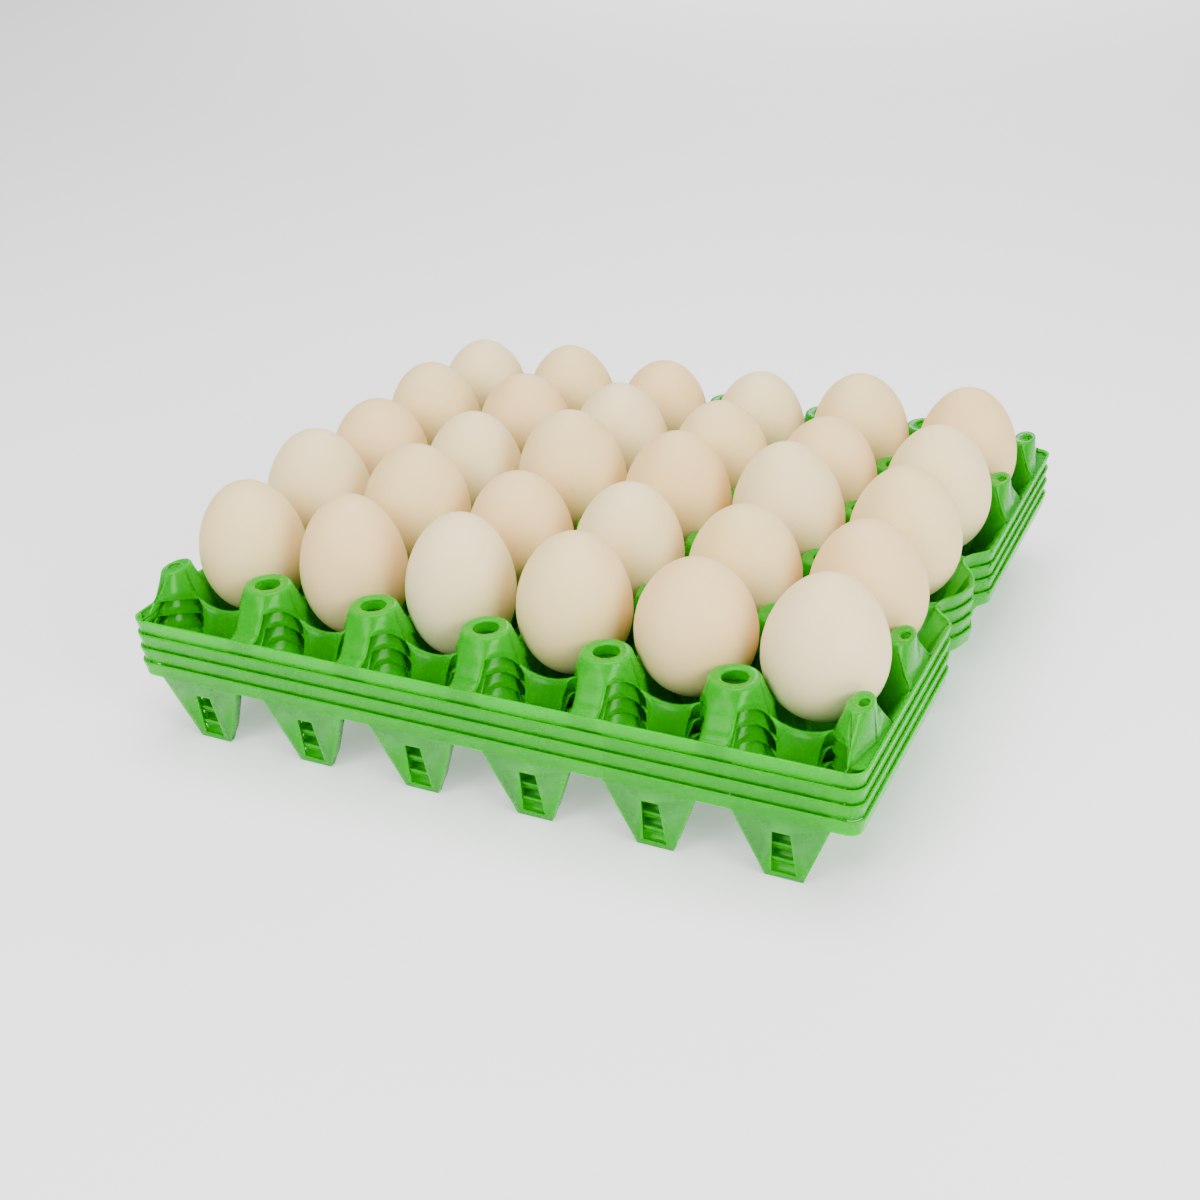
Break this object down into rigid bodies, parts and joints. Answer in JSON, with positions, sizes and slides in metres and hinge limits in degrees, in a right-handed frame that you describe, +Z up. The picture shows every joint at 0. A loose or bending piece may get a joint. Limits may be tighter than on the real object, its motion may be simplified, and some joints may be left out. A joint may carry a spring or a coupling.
{
  "type": "tray of eggs",
  "caption": "Plastic egg tray nested on further trays of its kind, with hollow pillars, toothed rim and side finger recesses, every cup filled with a hen's egg.",
  "frame": {"origin": "under the middle of the stack, on the plane of the lowest feet", "axes": "+X along the longer side of the tray, +Y from the front towards the back, +Z up"},
  "size_m": [0.3, 0.2876, 0.1022],
  "materials": {
    "tray_plastic": "bright green moulded plastic, glossy",
    "eggshell": "pale cream eggshell, matte with fine pores"
  },
  "bodies": {
    "root": {"tray_1": "tray_plastic", "tray_2": "tray_plastic", "tray_3": "tray_plastic", "tray_4": "tray_plastic", "egg_r1_c1": "eggshell", "egg_r1_c2": "eggshell", "egg_r1_c3": "eggshell", "egg_r1_c4": "eggshell", "egg_r1_c5": "eggshell", "egg_r1_c6": "eggshell", "egg_r2_c1": "eggshell", "egg_r2_c2": "eggshell", "egg_r2_c3": "eggshell", "egg_r2_c4": "eggshell", "egg_r2_c5": "eggshell", "egg_r2_c6": "eggshell", "egg_r3_c1": "eggshell", "egg_r3_c2": "eggshell", "egg_r3_c3": "eggshell", "egg_r3_c4": "eggshell", "egg_r3_c5": "eggshell", "egg_r3_c6": "eggshell", "egg_r4_c1": "eggshell", "egg_r4_c2": "eggshell", "egg_r4_c3": "eggshell", "egg_r4_c4": "eggshell", "egg_r4_c5": "eggshell", "egg_r4_c6": "eggshell", "egg_r5_c1": "eggshell", "egg_r5_c2": "eggshell", "egg_r5_c3": "eggshell", "egg_r5_c4": "eggshell", "egg_r5_c5": "eggshell", "egg_r5_c6": "eggshell"}
  },
  "joints": []
}
